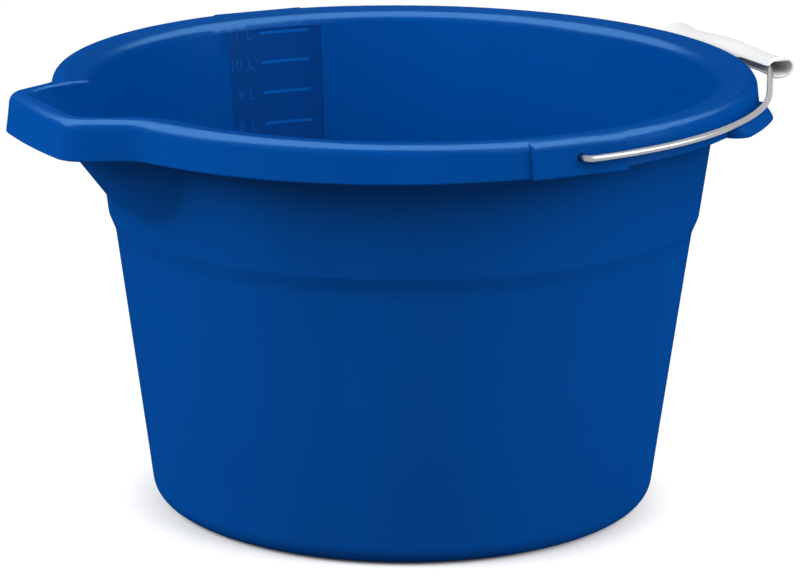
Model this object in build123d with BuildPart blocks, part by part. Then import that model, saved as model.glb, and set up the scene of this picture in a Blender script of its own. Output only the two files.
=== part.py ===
from build123d import *
import math
import os

# Farm bucket: a moulded plastic tub with a pouring spout, a steel wire bail and a moulded grip.
# Millimetres. The base rests on Z = 0 with the tub axis on the Z axis.
# The spout points to -X, the bail turns about the Y direction and lies folded toward +X.

# Tub wall: a plain cone with a small step outward near two thirds of its height
crest_height = 209.3
base_radius = 120.7
wall_slope = 0.134
wall = 2.4
floor = 2.6
base_corner = 10.7
step_low = 135.0
step_high = 142.5
step_out = 2.1
step_low_round = 14.0
step_high_round = 4.0

# Rim: a flange that falls slightly toward the mouth, with a skirt hanging from its outer edge
# The skirt leans outward as it falls, and its lower edge is deeper toward the spout
rim_overhang = 18.85
skirt_height = 15.7
skirt_draft = 7.0
skirt_tilt = 0.015
skirt_wall = 2.2
flange = 4.6
flange_fall = 1.6
crest_round = 5.0
crest_land = 1.0
mouth_round = 5.5
skirt_edge_round = 0.8

# Pouring spout: the outline of the skirt around it and the sloping channel inside
spout_length = 23.7
spout_bow = 2.4
spout_half_width = 38.2
spout_corner_round = 16.0
spout_flare = 19.4
spout_root_depth = 19.0
spout_root_round = 22.0
channel_half_width = 31.0
channel_spread = 0.384
channel_corner = 10.0
channel_corner_growth = 0.6
channel_angle = 53.0
channel_bend_out = -0.3
channel_bend_drop = 20.9
channel_lip_land = 8.8
channel_lip_drop = 1.9
channel_start = 45.0
channel_depth = 90.0
channel_overrun = 12.0
channel_round = 1.5
channel_root_round = 8.0

# Ears: flat thick pads that lean with the skirt, drilled for the bail
ear_half_width = 24.2
ear_proud = 0.2
ear_depth = 6.8
ear_top_drop = 0.15
ear_low = 0.7
ear_top_round = 4.2
ear_round = 0.8
pivot_drop = 8.1

# Bail rests: wedges on the skirt, whose sloping faces hold the folded bail
rest_angle = 47.5
rest_span = 18.0
rest_lip = 2.2
rest_low = 0.4
rest_round = 8.0
rest_gap = 0.45
rest_rise = 0.7

# Wire bail
wire_diameter = 3.0
hole_clearance = 0.8
bail_gap = 2.4
bail_arc_end = 57.0
bail_lean = 0.5
run_out = 2.7
run_bend = 12.0
pivot_bend = 4.0
hook_gap = 3.3
hook_bend = 3.6
hook_length = 8.5

# Grip
grip_length = 98.0
grip_out = 5.0
grip_half_width = 8.3
grip_swell = 5.9
grip_waist = 4.6
grip_waist_at = 24.6
grip_end_round = 1.2
groove_clearance = 0.15
throat_half_length = 23.0
throat_squeeze = 0.3
pocket_width = 13.6
pocket_height = 6.8
pocket_depth = 24.0

# Litre scale: a shallow panel on the inner wall with one raised line for each litre
panel_half_angle = 10.4
panel_recess = 0.5
panel_bottom = 16.0
panel_top_drop = 6.2
line_rise = 0.35
line_height = 1.5
line_from = 7.7
line_to = -2.8


def outer_radius(z):
    share = min(max((z - step_low) / (step_high - step_low), 0), 1)
    return base_radius + wall_slope * z + step_out * share


def inner_radius(z):
    return outer_radius(z) - wall


# Sizes that follow from the ones above
wire_radius = wire_diameter / 2
skirt_radius = outer_radius(crest_height) + rim_overhang
spout_reach = skirt_radius + spout_length
skirt_middle = crest_height - skirt_height
skirt_bottom = skirt_middle - skirt_tilt * spout_reach
rim_radius = skirt_radius - (crest_height - skirt_bottom) * math.tan(math.radians(skirt_draft))
spout_corner_x = spout_reach - spout_bow
spout_corner_y = spout_half_width
spout_root_x = skirt_radius - spout_root_depth
spout_root_y = spout_corner_y + spout_flare
channel_bend_x = skirt_radius + channel_bend_out
channel_bend_z = crest_height - channel_bend_drop
channel_lip_x = spout_reach - channel_lip_land
channel_start_x = channel_bend_x - channel_start
ear_face = skirt_radius + ear_proud
ear_bottom = skirt_middle - ear_low
ear_top = crest_height - ear_top_drop
ear_top_face = ear_face - (ear_top - ear_bottom) * math.tan(math.radians(skirt_draft))
pivot_height = crest_height - pivot_drop
bail_radius = skirt_radius + bail_gap + wire_radius
rest_reach = bail_radius + wire_radius + rest_lip
run_reach = bail_radius + run_out
grip_reach = run_reach + grip_out
hook_inset = ear_face - ear_depth - hook_gap - wire_radius


def contents(z):
    # Litres held up to a height, from the cones between the floor, the step and that height.
    heights = [floor] + [h for h in (step_low, step_high) if h < z] + [z]
    total = 0
    for low, high in zip(heights, heights[1:]):
        a = inner_radius(low)
        b = inner_radius(high)
        total += math.pi * (high - low) * (a * a + a * b + b * b) / 3
    return total / 1e6


def level_of(volume):
    low = floor
    high = crest_height
    for _ in range(40):
        middle = (low + high) / 2
        if contents(middle) < volume:
            low = middle
        else:
            high = middle
    return (low + high) / 2


def radial_plane(angle):
    # Upright plane through the tub axis: local x is radius, local y is height.
    a = math.radians(angle)
    along = (math.cos(a), math.sin(a), 0)
    across = (math.sin(a), -math.cos(a), 0)
    return Plane(origin=(0, 0, 0), x_dir=along, z_dir=across)


def wall_outline(inset, bottom, top, corner):
    # Half section from the axis to the wall, closed along the floor and the top.
    with BuildLine() as border:
        Polyline(
            (0, bottom),
            (outer_radius(bottom) - inset, bottom),
            (outer_radius(step_low) - inset, step_low),
            (outer_radius(step_high) - inset, step_high),
            (outer_radius(top) - inset, top),
            (0, top),
            close=True,
        )
    half = make_face(border.edges())
    corners = half.vertices()
    low = corners.sort_by_distance((outer_radius(bottom) - inset, bottom))[0]
    fillet(low, corner)


def soften_step(sketch, inset):
    low = sketch.vertices().sort_by_distance((outer_radius(step_low) - inset, step_low))[0]
    fillet(low, step_low_round + inset)
    high = sketch.vertices().sort_by_distance((outer_radius(step_high) - inset, step_high))[0]
    fillet(high, step_high_round - inset / 2)


def channel_stations(inset):
    # Along the floor of the spout channel in side view: a straight slope, a bend and the lip.
    # Each station has its place, its half width and its corner radius.
    slope = math.radians(channel_angle)
    lip_z = crest_height - channel_lip_drop
    chord = math.atan2(lip_z - channel_bend_z, channel_lip_x - channel_bend_x)
    lip_slope = 2 * chord - slope
    start_z = channel_bend_z - (channel_bend_x - channel_start_x) * math.tan(slope)
    slope_step = (channel_bend_x - channel_start_x) / 3
    run = channel_lip_x - channel_bend_x
    rise = lip_z - channel_bend_z
    bulge = math.hypot(run, rise) / 2 * math.tan((slope - chord) / 2)
    middle_x = channel_bend_x + run / 2 - math.sin(chord) * bulge
    middle_z = channel_bend_z + rise / 2 + math.cos(chord) * bulge
    beyond_x = channel_lip_x + math.cos(lip_slope) * channel_overrun
    beyond_z = lip_z + math.sin(lip_slope) * channel_overrun
    stations = []
    for x, z, turn in (
        (channel_start_x, start_z, slope),
        (channel_start_x + slope_step, start_z + slope_step * math.tan(slope), slope),
        (channel_bend_x - slope_step, channel_bend_z - slope_step * math.tan(slope), slope),
        (channel_bend_x, channel_bend_z, slope),
        (middle_x, middle_z, chord),
        (channel_lip_x, lip_z, lip_slope),
        (beyond_x, beyond_z, lip_slope),
    ):
        place = (math.sin(turn) * inset - x, 0, z + math.cos(turn) * inset)
        inward = channel_lip_x - x
        half_width = channel_half_width + channel_spread * inward + wall - inset
        corner = channel_corner + channel_corner_growth * inward + wall - inset
        stations.append((place, half_width, corner))
    return stations


# Everything below the lower edge of the skirt
with BuildPart() as under_skirt:
    with BuildSketch(Plane(origin=(0, 0, skirt_middle), z_dir=(-skirt_tilt, 0, 1))):
        Rectangle(3 * skirt_radius, 3 * skirt_radius)
    extrude(amount=-skirt_height)

# Rim with the spout in its outline, hollow from below
with BuildPart() as rim:
    with BuildSketch(Plane.XY.offset(skirt_bottom)) as outline:
        Circle(skirt_radius)
        with BuildLine():
            tip = ThreePointArc(
                (-spout_corner_x, -spout_corner_y), (-spout_reach, 0), (-spout_corner_x, spout_corner_y)
            )
            Polyline(
                tip @ 1, (-spout_root_x, spout_root_y), (-spout_root_x, -spout_root_y), tip @ 0
            )
        make_face()
        tips = outline.vertices().sort_by(Axis.X)[0:2]
        fillet(tips, spout_corner_round)
        roots = outline.vertices().filter_by(
            lambda v: v.X < 0 and abs(math.hypot(v.X, v.Y) - skirt_radius) < 0.01
        )
        fillet(roots, spout_root_round)
    extrude(amount=crest_height - skirt_bottom, taper=skirt_draft)
    add(under_skirt.part, mode=Mode.SUBTRACT)
    fillet(rim.faces().sort_by(Axis.Z)[-1].edges(), crest_round)
    fillet(rim.faces().sort_by(Axis.Z)[0].edges(), skirt_edge_round)
    with BuildSketch(Plane.XY.offset(skirt_bottom)) as hollow:
        add(outline.sketch_local)
        offset(amount=-skirt_wall)
    extrude(amount=crest_height - skirt_bottom - flange, taper=skirt_draft, mode=Mode.SUBTRACT)

# Outside of the spout channel, up to the flange
with BuildPart() as channel_outside:
    for place, half_width, corner in channel_stations(0):
        with BuildSketch(Plane(origin=place, x_dir=(0, -1, 0), z_dir=(-1, 0, 0))) as section:
            with Locations((0, channel_depth / 2)):
                Rectangle(2 * half_width, channel_depth)
            fillet(section.vertices().sort_by(Axis.Y)[0:2], corner)
    loft()
    with BuildSketch(Plane.XY.offset(crest_height - flange / 2)):
        Rectangle(2 * skirt_radius + 100, 2 * skirt_radius)
    extrude(amount=100, mode=Mode.SUBTRACT)

# Space inside the spout channel
with BuildPart() as channel_inside:
    for place, half_width, corner in channel_stations(wall):
        with BuildSketch(Plane(origin=place, x_dir=(0, -1, 0), z_dir=(-1, 0, 0))) as section:
            with Locations((0, channel_depth / 2)):
                Rectangle(2 * half_width, channel_depth)
            fillet(section.vertices().sort_by(Axis.Y)[0:2], corner)
    loft()

# One ear pad, on the -Y side
with BuildPart() as ear:
    with BuildSketch(Plane.YZ) as ear_side:
        with BuildLine():
            Polyline(
                (-ear_face, ear_bottom),
                (-ear_top_face, ear_top),
                (ear_depth - ear_face, ear_top),
                (ear_depth - ear_face, ear_bottom),
                close=True,
            )
        make_face()
        fillet(ear_side.vertices().sort_by_distance((-ear_top_face, ear_top))[0], ear_top_round)
        fillet(ear_side.vertices().sort_by_distance((-ear_face, ear_bottom))[0], ear_round)
    extrude(amount=ear_half_width, both=True)
    fillet(ear.faces().filter_by(Axis.X).edges(), ear_round)

# One bail rest, on the -Y side
rest_turn = math.radians(rest_angle)
wire_at_rest = pivot_height + math.cos(rest_turn) * bail_radius * math.tan(math.radians(bail_lean))
ramp_sum = bail_radius + wire_at_rest - math.sqrt(2) * (wire_radius + rest_gap)
rest_bottom = skirt_middle + skirt_tilt * math.cos(rest_turn) * skirt_radius - rest_low
rest_inside = skirt_radius - skirt_wall
rest_top = wire_at_rest - (wire_radius + rest_gap) / math.sqrt(2) + rest_rise
with BuildPart() as rest:
    with BuildSketch(Plane.XY.offset(rest_bottom)) as rest_plan:
        with BuildLine():
            first = -rest_angle - rest_span / 2
            out = CenterArc((0, 0), rest_reach, first, rest_span)
            back = CenterArc((0, 0), rest_inside, first, rest_span)
            Line(out @ 0, back @ 0)
            Line(out @ 1, back @ 1)
        make_face()
        far = rest_plan.vertices().filter_by(lambda v: math.hypot(v.X, v.Y) > rest_reach - 0.1)
        fillet(far, rest_round)
    extrude(amount=rest_top - rest_bottom)
    with BuildSketch(Plane.XZ):
        with BuildLine():
            Polyline(
                (rest_inside, ramp_sum - rest_inside),
                (rest_reach + 9, ramp_sum - rest_reach - 9),
                (rest_reach + 9, ramp_sum - rest_inside + 9),
                (rest_inside, ramp_sum - rest_inside + 9),
                close=True,
            )
        make_face()
    revolve(axis=Axis.Z, mode=Mode.SUBTRACT)

# The tub
with BuildPart() as bucket:
    with BuildSketch(Plane.XZ) as shell:
        wall_outline(0, 0, crest_height - 1, base_corner)
        soften_step(shell, 0)
    revolve(axis=Axis.Z)
    add(channel_outside.part)
    # Rounded root of the channel on the outer wall
    root = bucket.edges().filter_by(GeomType.BSPLINE).filter_by(
        lambda e: abs(math.hypot((e @ 0.5).X, (e @ 0.5).Y) - outer_radius((e @ 0.5).Z)) < 0.1
    )
    fillet(root, channel_root_round)
    add(rim.part)
    add(ear.part)
    add(mirror(ear.part, about=Plane.XZ, mode=Mode.PRIVATE))
    add(rest.part)
    add(mirror(rest.part, about=Plane.XZ, mode=Mode.PRIVATE))

    # The inside, up to a flange that falls from the crest to the rounded mouth
    crest = rim_radius - crest_round - crest_land
    mouth = inner_radius(crest_height)
    fall = flange_fall / (crest - mouth)
    with BuildSketch(Plane.XZ) as inside:
        wall_outline(wall, floor, crest_height + 5, base_corner - wall)
        soften_step(inside, wall)
        with BuildLine():
            Polyline(
                (0, crest_height - crest * fall), (crest, crest_height), (0, crest_height + 9), close=True
            )
        make_face()
        brink = inside.vertices().sort_by_distance((mouth, crest_height - flange_fall))[0]
        fillet(brink, mouth_round)
    revolve(axis=Axis.Z, mode=Mode.SUBTRACT)
    add(channel_inside.part, mode=Mode.SUBTRACT)

    # Rounded edges along both sides of the channel
    channel_mouth = channel_half_width + channel_spread * (channel_lip_x - mouth) + 3
    brim = bucket.edges().filter_by(
        lambda e: (e @ 0.5).Z > crest_height - 2 * flange_fall
        and -channel_lip_x - 3 < (e @ 0.5).X < 0
        and abs((e @ 0.5).Y) < channel_mouth
    )
    fillet(brim, channel_round)

    # Holes for the bail through both ears
    for side in (-1, 1):
        with BuildSketch(Plane.XZ.offset(side * (ear_face + 1))):
            with Locations((0, pivot_height)):
                Circle((wire_diameter + hole_clearance) / 2)
        extrude(amount=-side * (ear_depth + 2), mode=Mode.SUBTRACT)

    # Litre scale on the +Y side of the inner wall
    panel_top = crest_height - panel_top_drop
    litres = math.floor(contents(panel_top - line_height))
    with BuildSketch(radial_plane(90 - panel_half_angle)):
        with BuildLine():
            Polyline(
                (inner_radius(panel_bottom) + panel_recess, panel_bottom),
                (inner_radius(step_low) + panel_recess, step_low),
                (inner_radius(step_high) + panel_recess, step_high),
                (inner_radius(panel_top) + panel_recess, panel_top),
                (inner_radius(panel_bottom) - 3, panel_top),
                (inner_radius(panel_bottom) - 3, panel_bottom),
                close=True,
            )
        make_face()
    revolve(axis=Axis.Z, revolution_arc=2 * panel_half_angle, mode=Mode.SUBTRACT)
    for litre in range(1, litres + 1):
        level = level_of(litre)
        ground = inner_radius(level) + panel_recess
        with BuildSketch(radial_plane(90 - line_from)):
            with Locations((ground, level)):
                Rectangle(2 * line_rise, line_height)
        revolve(axis=Axis.Z, revolution_arc=line_from - line_to)

# Steel wire bail, folded down onto its rests
lean = math.radians(bail_lean)
bail_plane = Plane(
    origin=(0, 0, pivot_height), x_dir=(0, -1, 0), z_dir=(-math.sin(lean), 0, math.cos(lean))
)
with BuildPart() as bail_wire:
    with BuildLine(bail_plane) as path:
        turn = 90 - bail_arc_end
        leave = Vector(bail_radius, 0).rotate(Axis.Z, bail_arc_end)
        slope = math.tan(math.radians(turn))
        knee = leave.X - (run_reach - leave.Y) / slope
        trim = run_bend * math.tan(math.radians(turn / 2))
        bend_x = knee - trim
        bend_out = CenterArc((bend_x, run_reach - run_bend), run_bend, 90 - turn, turn)
        Line((0, run_reach), bend_out @ 1)
        Line(bend_out @ 0, (leave.X, leave.Y))
        pivot_x = math.sqrt((bail_radius - pivot_bend) ** 2 - pivot_bend**2)
        swing = math.degrees(math.atan2(pivot_bend, pivot_x))
        CenterArc((0, 0), bail_radius, swing, bail_arc_end - swing)
        CenterArc((pivot_x, pivot_bend), pivot_bend, -90, 90 + swing)
        Line((pivot_x, 0), (hook_inset + hook_bend, 0))
        CenterArc((hook_inset + hook_bend, -hook_bend), hook_bend, 90, 90)
        Line((hook_inset, -hook_bend), (hook_inset, -hook_length))
        mirror(about=Plane.XZ)
    hook_end = bail_plane.from_local_coords(Vector(hook_inset, -hook_length, 0))
    with BuildSketch(Plane(origin=hook_end, z_dir=bail_plane.y_dir)):
        Circle(wire_radius)
    sweep(path=path.wire())

# Moulded grip, pressed over the straight run of the bail
with BuildPart() as bail_grip:
    half = grip_length / 2
    stations = (
        (-half, grip_swell),
        (-grip_waist_at, grip_waist),
        (0, grip_swell),
        (grip_waist_at, grip_waist),
        (half, grip_swell),
    )
    for along, thick in stations:
        centre = bail_plane.from_local_coords(Vector(along, grip_reach, 0))
        with BuildSketch(Plane(origin=centre, x_dir=bail_plane.y_dir, z_dir=bail_plane.x_dir)):
            Ellipse(grip_half_width, thick)
    loft()
    fillet(bail_grip.faces().filter_by(GeomType.PLANE).edges(), grip_end_round)

    # Hollow ends
    for along, way in ((-half, 1), (half, -1)):
        centre = bail_plane.from_local_coords(Vector(along, grip_reach, 0))
        with BuildSketch(Plane(origin=centre, x_dir=bail_plane.y_dir, z_dir=bail_plane.x_dir)):
            SlotOverall(pocket_width, pocket_height)
        extrude(amount=way * pocket_depth, mode=Mode.SUBTRACT)

    # Bore for the wire, a tight throat in the middle and open grooves toward both ends
    bore = wire_radius + groove_clearance
    centre = bail_plane.from_local_coords(Vector(0, run_reach, 0))
    with BuildSketch(Plane(origin=centre, x_dir=bail_plane.y_dir, z_dir=bail_plane.x_dir)):
        Circle(bore)
    extrude(amount=half, both=True, mode=Mode.SUBTRACT)
    mouth_w = grip_reach - grip_half_width - 1
    with BuildSketch(bail_plane):
        with Locations((0, (run_reach + mouth_w) / 2)):
            Rectangle(2 * throat_half_length, run_reach - mouth_w)
    extrude(amount=wire_radius - throat_squeeze, both=True, mode=Mode.SUBTRACT)
    groove_length = half - throat_half_length + 1
    groove_middle = throat_half_length + groove_length / 2
    with BuildSketch(bail_plane):
        with Locations(
            (-groove_middle, (run_reach + mouth_w) / 2), (groove_middle, (run_reach + mouth_w) / 2)
        ):
            Rectangle(groove_length, run_reach - mouth_w)
    extrude(amount=bore, both=True, mode=Mode.SUBTRACT)

bucket.part.label = "bucket"
bail_wire.part.label = "bail_wire"
bail_grip.part.label = "bail_grip"

os.makedirs("parts", exist_ok=True)
export_step(bucket.part, "parts/bucket.step")
export_step(bail_wire.part, "parts/bail_wire.step")
export_step(bail_grip.part, "parts/bail_grip.step")
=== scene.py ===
import math
import bpy
from mathutils import Euler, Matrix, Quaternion, Vector


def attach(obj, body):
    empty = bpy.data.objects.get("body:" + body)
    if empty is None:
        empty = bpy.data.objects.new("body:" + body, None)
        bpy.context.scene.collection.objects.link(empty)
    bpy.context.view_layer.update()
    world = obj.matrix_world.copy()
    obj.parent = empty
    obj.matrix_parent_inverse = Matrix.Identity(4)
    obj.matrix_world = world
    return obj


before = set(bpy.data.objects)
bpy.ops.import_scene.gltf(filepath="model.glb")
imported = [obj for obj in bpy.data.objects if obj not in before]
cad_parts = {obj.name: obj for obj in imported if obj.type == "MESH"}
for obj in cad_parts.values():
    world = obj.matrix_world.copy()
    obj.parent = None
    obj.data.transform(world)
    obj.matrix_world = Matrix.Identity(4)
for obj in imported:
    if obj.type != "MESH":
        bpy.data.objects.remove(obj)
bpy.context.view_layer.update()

# Tub
# One injection-moulded piece of solid blue plastic with a satin skin. The mould leaves a faint orange-peel
# texture, and the scale panel on the inner wall is spark-etched, so it looks duller and darker than the wall.
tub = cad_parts["bucket"]
base_radius = 0.1207
taper = 0.134
step_low = 0.135
step_high = 0.1425
step_out = 0.0021
wall = 0.0024
floor_thickness = 0.0026
crest_height = 0.2093
panel_bottom = 0.0155
panel_top = 0.2032
panel_half_angle = math.radians(10.45)
panel_sunk = 0.0005
line_rise = 0.00035
blue_low = (0.0, 0.0410, 0.208, 1)
blue_high = (0.0, 0.0480, 0.236, 1)
etched_blue = (0.0, 0.0300, 0.164, 1)
# The raised lines are the tub's own plastic, painted lighter than the wall: a painted highlight for the light
# their faces catch
line_blue_painted_highlight = (0.001, 0.077, 0.335, 1)
lustre_tint = (0.28, 0.62, 0.76, 1)
lustre_share = 0.006
cloud_scale = 9.0
gloss_low = 0.19
gloss_high = 0.26
panel_dulling = 0.12
peel_scale = 420.0
peel_depth = 0.0004
peel_strength = 0.06


def mottle(tree, scale, detail, place=None):
    # Noise of one grain size, on the piece's own coordinates where they are given
    noise = tree.nodes.new("ShaderNodeTexNoise")
    noise.inputs["Scale"].default_value = scale
    noise.inputs["Detail"].default_value = detail
    if place:
        tree.links.new(place.outputs["Object"], noise.inputs["Vector"])
    return noise.outputs["Fac"]


def tint(tree, amount, low, high, low_at=0.0, high_at=1.0):
    # Colour that runs from one tone to another with the amount
    ramp = tree.nodes.new("ShaderNodeValToRGB")
    ramp.color_ramp.elements[0].position = low_at
    ramp.color_ramp.elements[0].color = low
    ramp.color_ramp.elements[1].position = high_at
    ramp.color_ramp.elements[1].color = high
    tree.links.new(amount, ramp.inputs["Fac"])
    return ramp.outputs["Color"]


def rescale(tree, amount, low, high, start=0.0, end=1.0):
    # Amount between start and end, carried over to low and high
    span = tree.nodes.new("ShaderNodeMapRange")
    span.inputs["From Min"].default_value = start
    span.inputs["From Max"].default_value = end
    span.inputs["To Min"].default_value = low
    span.inputs["To Max"].default_value = high
    tree.links.new(amount, span.inputs["Value"])
    return span


def reckon(tree, operation, *terms):
    # One step of arithmetic on sockets and plain numbers
    working = tree.nodes.new("ShaderNodeMath")
    working.operation = operation
    for socket, term in zip(working.inputs, terms):
        if isinstance(term, float):
            socket.default_value = term
        else:
            tree.links.new(term, socket)
    return working.outputs[0]


def blend(tree, share, under, over):
    # One colour laid over another by its share
    mix = tree.nodes.new("ShaderNodeMix")
    mix.data_type = "RGBA"
    tree.links.new(share, mix.inputs["Factor"])
    for socket, colour in ((mix.inputs["A"], under), (mix.inputs["B"], over)):
        if isinstance(colour, tuple):
            socket.default_value = colour
        else:
            tree.links.new(colour, socket)
    return mix.outputs["Result"]


blue = bpy.data.materials.new("tub_blue_plastic")
blue.use_nodes = True
nt = blue.node_tree
nt.nodes.clear()
out = nt.nodes.new("ShaderNodeOutputMaterial")
skin = nt.nodes.new("ShaderNodeBsdfPrincipled")
skin.inputs["Specular IOR Level"].default_value = 0.0
lustre = nt.nodes.new("ShaderNodeBsdfGlossy")
lustre.inputs["Color"].default_value = lustre_tint
coat = nt.nodes.new("ShaderNodeMixShader")
coat.inputs["Fac"].default_value = lustre_share
nt.links.new(skin.outputs["BSDF"], coat.inputs[1])
nt.links.new(lustre.outputs["BSDF"], coat.inputs[2])
nt.links.new(coat.outputs["Shader"], out.inputs["Surface"])
where = nt.nodes.new("ShaderNodeTexCoord")
clouds = mottle(nt, cloud_scale, 3.0, where)
plain_blue = tint(nt, clouds, blue_low, blue_high, 0.15, 0.85)

# How deep a point lies behind the outside of the wall, with its taper and its step
spot = nt.nodes.new("ShaderNodeSeparateXYZ")
nt.links.new(where.outputs["Object"], spot.inputs["Vector"])
height = spot.outputs["Z"]
flat = nt.nodes.new("ShaderNodeCombineXYZ")
nt.links.new(spot.outputs["X"], flat.inputs["X"])
nt.links.new(spot.outputs["Y"], flat.inputs["Y"])
radius = nt.nodes.new("ShaderNodeVectorMath")
radius.operation = "LENGTH"
nt.links.new(flat.outputs[0], radius.inputs[0])
step = rescale(nt, height, base_radius, base_radius + step_out, step_low, step_high)
outside = reckon(nt, "MULTIPLY_ADD", height, taper, step.outputs[0])
depth = reckon(nt, "SUBTRACT", radius.outputs["Value"], outside)

# The etched panel on the inner face, and the raised lines that stand on it, whose blue is painted lighter
# than the wall's own as a painted highlight
turn = reckon(nt, "ARCTAN2", spot.outputs["X"], spot.outputs["Y"])
in_width = reckon(nt, "LESS_THAN", reckon(nt, "ABSOLUTE", turn), panel_half_angle)
inner = reckon(nt, "LESS_THAN", depth, -wall / 2)
below_top = reckon(nt, "LESS_THAN", height, panel_top)
above_bottom = reckon(nt, "GREATER_THAN", height, panel_bottom)
etched = reckon(nt, "MULTIPLY", in_width, inner)
etched = reckon(nt, "MULTIPLY", etched, below_top)
etched = reckon(nt, "MULTIPLY", etched, above_bottom)
raised = reckon(nt, "LESS_THAN", depth, panel_sunk - wall - line_rise / 2)
line = reckon(nt, "MULTIPLY", raised, etched)
darker = blend(nt, etched, plain_blue, etched_blue)
nt.links.new(blend(nt, line, darker, line_blue_painted_highlight), skin.inputs["Base Color"])

# Satin gloss, duller on the panel, and the orange peel
gloss = rescale(nt, clouds, gloss_low, gloss_high)
dull = reckon(nt, "MULTIPLY_ADD", etched, panel_dulling, gloss.outputs[0])
peel = nt.nodes.new("ShaderNodeBump")
peel.inputs["Strength"].default_value = peel_strength
peel.inputs["Distance"].default_value = peel_depth
nt.links.new(mottle(nt, peel_scale, 2.0, where), peel.inputs["Height"])
for shader in (skin, lustre):
    nt.links.new(dull, shader.inputs["Roughness"])
    nt.links.new(peel.outputs["Normal"], shader.inputs["Normal"])
tub.data.materials.clear()
tub.data.materials.append(blue)

# Scale numbers
# Raised figures moulded into the wall with the lines: the litre count and the unit, left of each line.
# They stand a third of a millimetre proud of the sunk panel and follow the taper of the wall. Their blue is
# painted lighter than the tub's own, a painted highlight for the light their raised faces catch.
figure_size = 0.0078
figure_half_depth = 0.00025
figure_lift = 0.0001
number_right = -0.0185
unit_right = -0.0115
litres = 11
litres_per_cubic_metre = 1000
level_halvings = 40
# Painted highlight: these blues are lighter than the tub's own plastic, standing in for the light on the
# raised faces
figure_painted_highlight_blue_low = (0.001, 0.072, 0.318, 1)
figure_painted_highlight_blue_high = (0.001, 0.082, 0.342, 1)
figure_speck_scale = 260.0


def inner_radius(z):
    # Inside of the tub's wall at a height
    rise = min(max((z - step_low) / (step_high - step_low), 0), 1)
    return base_radius - wall + taper * z + step_out * rise


def litres_below(z):
    # What the tub holds up to a height, as a stack of cones
    heights = [floor_thickness] + [h for h in (step_low, step_high) if h < z] + [z]
    total = 0.0
    for z0, z1 in zip(heights, heights[1:]):
        a = inner_radius(z0)
        b = inner_radius(z1)
        total += math.pi * (z1 - z0) * (a * a + a * b + b * b) / 3
    return total * litres_per_cubic_metre


figures = bpy.data.materials.new("scale_figure_plastic")
figures.use_nodes = True
nf = figures.node_tree
paint = nf.nodes["Principled BSDF"]
speck = mottle(nf, figure_speck_scale, 2.0, nf.nodes.new("ShaderNodeTexCoord"))
figure_painted_highlight_blue = tint(nf, speck, figure_painted_highlight_blue_low, figure_painted_highlight_blue_high)
nf.links.new(figure_painted_highlight_blue, paint.inputs["Base Color"])
paint.inputs["Roughness"].default_value = 0.38
paint.inputs["Specular IOR Level"].default_value = 0.03
for litre in range(1, litres + 1):
    low = floor_thickness
    high = crest_height
    for _ in range(level_halvings):
        level = (low + high) / 2
        if litres_below(level) < litre:
            low = level
        else:
            high = level
    for kind, words, right in (("number", str(litre), number_right), ("unit", "L", unit_right)):
        glyph = bpy.data.curves.new("figure", "FONT")
        glyph.body = words
        glyph.size = figure_size
        glyph.extrude = figure_half_depth
        glyph.align_x = "RIGHT"
        glyph.resolution_u = 4
        cut = bpy.data.objects.new("figure", glyph)
        bpy.context.scene.collection.objects.link(cut)
        bpy.context.view_layer.update()
        solid = bpy.data.meshes.new_from_object(cut.evaluated_get(bpy.context.evaluated_depsgraph_get()))
        bpy.data.objects.remove(cut)
        middle = (min(v.co.y for v in solid.vertices) + max(v.co.y for v in solid.vertices)) / 2
        for v in solid.vertices:
            z = level + v.co.y - middle
            sunk_face = inner_radius(z) + panel_sunk
            r = sunk_face - figure_lift - v.co.z
            turned = (v.co.x + right) / sunk_face
            v.co = (r * math.sin(turned), r * math.cos(turned), z)
        solid.materials.clear()
        solid.materials.append(figures)
        mark = bpy.data.objects.new("scale_%s_%02d" % (kind, litre), solid)
        bpy.context.scene.collection.objects.link(mark)
        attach(mark, "tub")

# Bail wire
# One length of bright drawn steel wire, bent by machine into a bail with hooked ends.
# Drawing leaves it slightly uneven, in tone and in shine.
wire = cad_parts["bail_wire"]
steel_low = (0.31, 0.315, 0.325, 1)
steel_high = (0.37, 0.38, 0.395, 1)
shine_low = 0.26
shine_high = 0.36
streak_scale = 900.0
steel = bpy.data.materials.new("bail_bright_steel")
steel.use_nodes = True
ns = steel.node_tree
metal = ns.nodes["Principled BSDF"]
metal.inputs["Metallic"].default_value = 1.0
streak = mottle(ns, streak_scale, 4.0, ns.nodes.new("ShaderNodeTexCoord"))
steel_tone = tint(ns, streak, steel_low, steel_high, 0.3, 0.7)
ns.links.new(steel_tone, metal.inputs["Base Color"])
ns.links.new(rescale(ns, streak, shine_low, shine_high).outputs[0], metal.inputs["Roughness"])
wire.data.materials.clear()
wire.data.materials.append(steel)

# Grip
# White moulded plastic pressed over the straight part of the wire, with hollow ends and a swell
# at both ends and in the middle. Handling has left the faintest grey in places.
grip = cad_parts["bail_grip"]
chalk_low = (0.70, 0.70, 0.695, 1)
chalk_high = (0.75, 0.75, 0.745, 1)
grime_scale = 38.0
pebble_scale = 900.0
pebble_depth = 0.0003
pebble_strength = 0.12
white = bpy.data.materials.new("grip_white_plastic")
white.use_nodes = True
ng = white.node_tree
body = ng.nodes["Principled BSDF"]
at = ng.nodes.new("ShaderNodeTexCoord")
grime = mottle(ng, grime_scale, 5.0, at)
chalk = tint(ng, grime, chalk_low, chalk_high, 0.25, 0.6)
ng.links.new(chalk, body.inputs["Base Color"])
body.inputs["Roughness"].default_value = 0.42
body.inputs["Specular IOR Level"].default_value = 0.1
dimple = ng.nodes.new("ShaderNodeBump")
dimple.inputs["Strength"].default_value = pebble_strength
dimple.inputs["Distance"].default_value = pebble_depth
ng.links.new(mottle(ng, pebble_scale, 2.0, at), dimple.inputs["Height"])
ng.links.new(dimple.outputs["Normal"], body.inputs["Normal"])
grip.data.materials.clear()
grip.data.materials.append(white)
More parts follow.
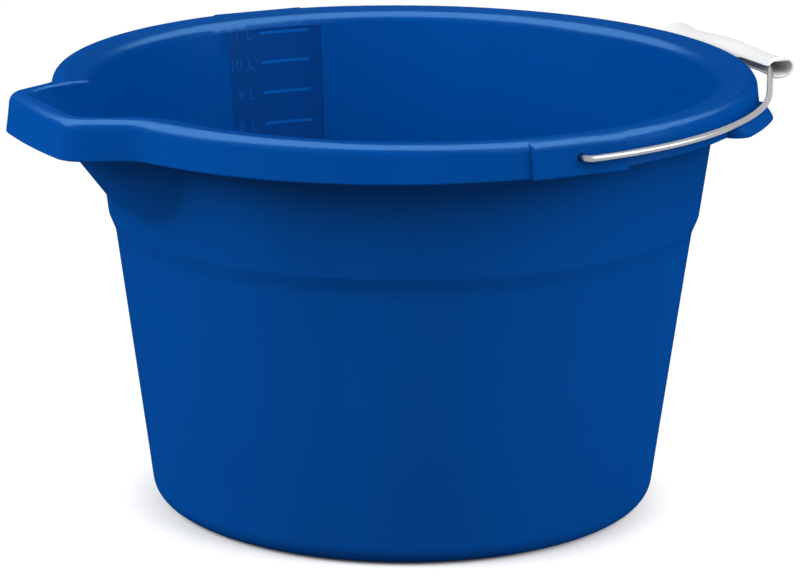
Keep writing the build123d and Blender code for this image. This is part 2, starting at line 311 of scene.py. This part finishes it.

# Floor
# A plain pale studio floor that keeps the shadow around the base and runs out to white beyond it. The white
# is a painted glow that fades out near the base, about a middle set a little towards the camera, so the
# shadow shows only in a patch there, deepest in front: a painted shadow shape. Only what is looked at,
# directly or in a gloss, is that white: the light it throws back is dimmer.
floor_reach = 9
painted_shadow_middle = (-0.0091, -0.0089, 0)
painted_shadow_inner = 0.1022
painted_shadow_outer = 0.1402
glow_at_base = 0.03
glow_beyond = 0.93
cream_low = (0.84, 0.84, 0.84, 1)
cream_high = (0.87, 0.87, 0.87, 1)
grey_under_glow = (0.10, 0.10, 0.10, 1)
grey_for_bounce = (0.32, 0.32, 0.32, 1)
ground = bpy.data.meshes.new("studio_floor")
ground.from_pydata(
    [
        (-floor_reach, -floor_reach, 0),
        (floor_reach, -floor_reach, 0),
        (floor_reach, floor_reach, 0),
        (-floor_reach, floor_reach, 0),
    ],
    [],
    [(0, 1, 2, 3)],
)
floor = bpy.data.objects.new("studio_floor", ground)
bpy.context.scene.collection.objects.link(floor)


def looked_at(tree):
    # One where the camera sees a surface, directly, in a gloss or through glass, and nought elsewhere
    ray = tree.nodes.new("ShaderNodeLightPath")
    direct_or_gloss = reckon(tree, "MAXIMUM", ray.outputs["Is Camera Ray"], ray.outputs["Is Glossy Ray"])
    return reckon(tree, "MAXIMUM", direct_or_gloss, ray.outputs["Is Transmission Ray"])


pale = bpy.data.materials.new("studio_floor_white")
pale.use_nodes = True
pf = pale.node_tree
sweep = pf.nodes["Principled BSDF"]
sweep.inputs["Roughness"].default_value = 0.9
sweep.inputs["Specular IOR Level"].default_value = 0.0
sweep.inputs["Emission Color"].default_value = (1, 1, 1, 1)
cream = tint(pf, mottle(pf, 3.0, 2.0), cream_low, cream_high)
spread = pf.nodes.new("ShaderNodeTexCoord")
far = pf.nodes.new("ShaderNodeVectorMath")
far.operation = "DISTANCE"
far.inputs[1].default_value = painted_shadow_middle
pf.links.new(spread.outputs["Object"], far.inputs[0])
# Painted shadow shape: the glow fades out about a middle set towards the camera, so the real shadow shows
# only there
fade = rescale(pf, far.outputs["Value"], glow_at_base, glow_beyond, painted_shadow_inner, painted_shadow_outer)
fade.interpolation_type = "SMOOTHSTEP"
faded = fade.outputs[0]
seen_floor = looked_at(pf)
thin = blend(pf, faded, cream, grey_under_glow)
pf.links.new(blend(pf, seen_floor, grey_for_bounce, thin), sweep.inputs["Base Color"])
pf.links.new(reckon(pf, "MULTIPLY", seen_floor, faded), sweep.inputs["Emission Strength"])
ground.materials.append(pale)

# Light
# Four soft boxes, at both sides and in front, in a dim surround that looks white. A ceiling panel
# makes the long highlights on the tub's rim and lights nothing else.
world = bpy.data.worlds.new("studio_surround")
bpy.context.scene.world = world
world.use_nodes = True
nw = world.node_tree
sky = nw.nodes["Background"]
sky.inputs["Color"].default_value = (1, 1, 1, 1)
sky.inputs["Strength"].default_value = 0.08
backdrop = nw.nodes.new("ShaderNodeBackground")
backdrop.inputs["Color"].default_value = (1, 1, 1, 1)
backdrop.inputs["Strength"].default_value = 1.0
choose = nw.nodes.new("ShaderNodeMixShader")
nw.links.new(looked_at(nw), choose.inputs["Fac"])
nw.links.new(sky.outputs[0], choose.inputs[1])
nw.links.new(backdrop.outputs[0], choose.inputs[2])
nw.links.new(choose.outputs[0], nw.nodes["World Output"].inputs["Surface"])
aim_point = Vector((0, 0, 0.1))
for name, place, size, power, in_gloss in (
    ("left_side_box", (-1.68, 0.53, 0.95), 1.0, 19, False),
    ("right_side_box", (1.49, -1.15, 0.60), 1.0, 13.5, True),
    ("left_front_box", (-1.465, -0.271, 1.26), 1.3, 28, False),
    ("right_front_box", (0.617, -1.355, 1.26), 1.3, 25.5, True),
):
    lamp = bpy.data.lights.new(name, "AREA")
    lamp.shape = "SQUARE"
    lamp.size = size
    lamp.energy = power
    box = bpy.data.objects.new(name, lamp)
    box.location = place
    box.visible_glossy = in_gloss
    box.rotation_euler = (aim_point - Vector(place)).to_track_quat("-Z", "Y").to_euler()
    bpy.context.scene.collection.objects.link(box)
heading = math.radians(-27.5)
ceiling = bpy.data.lights.new("ceiling_panel", "AREA")
ceiling.shape = "RECTANGLE"
ceiling.size = 6.4
ceiling.size_y = 3.8
ceiling.energy = 2620
ceiling_panel = bpy.data.objects.new("ceiling_panel", ceiling)
ceiling_panel.location = (-0.02, 1.26, 2.1)
ceiling_panel.rotation_euler = (0, 0, heading)
ceiling_panel.visible_diffuse = False
shown_on = bpy.data.collections.new("ceiling_panel_shows_on")
shown_on.objects.link(tub)
ceiling_panel.light_linking.receiver_collection = shown_on
bpy.context.scene.collection.objects.link(ceiling_panel)

# Camera
# Long lens a little above the rim, turned so that the spout points left.
pitch = math.radians(14.97)
roll = math.radians(0.36)
lens = bpy.data.cameras.new("camera")
lens.sensor_width = 36.0
lens.lens = 171.25
lens.shift_x = -0.0045
lens.clip_end = 60
camera = bpy.data.objects.new("camera", lens)
camera.location = (-0.8226, -1.5803, 0.5775)
camera.rotation_mode = "QUATERNION"
aim = Euler((math.pi / 2 - pitch, 0, heading)).to_quaternion()
camera.rotation_quaternion = aim @ Quaternion((0, 0, 1), roll)
bpy.context.scene.collection.objects.link(camera)
bpy.context.scene.camera = camera
bpy.context.scene.view_settings.view_transform = "Standard"
bpy.context.scene.view_settings.look = "None"
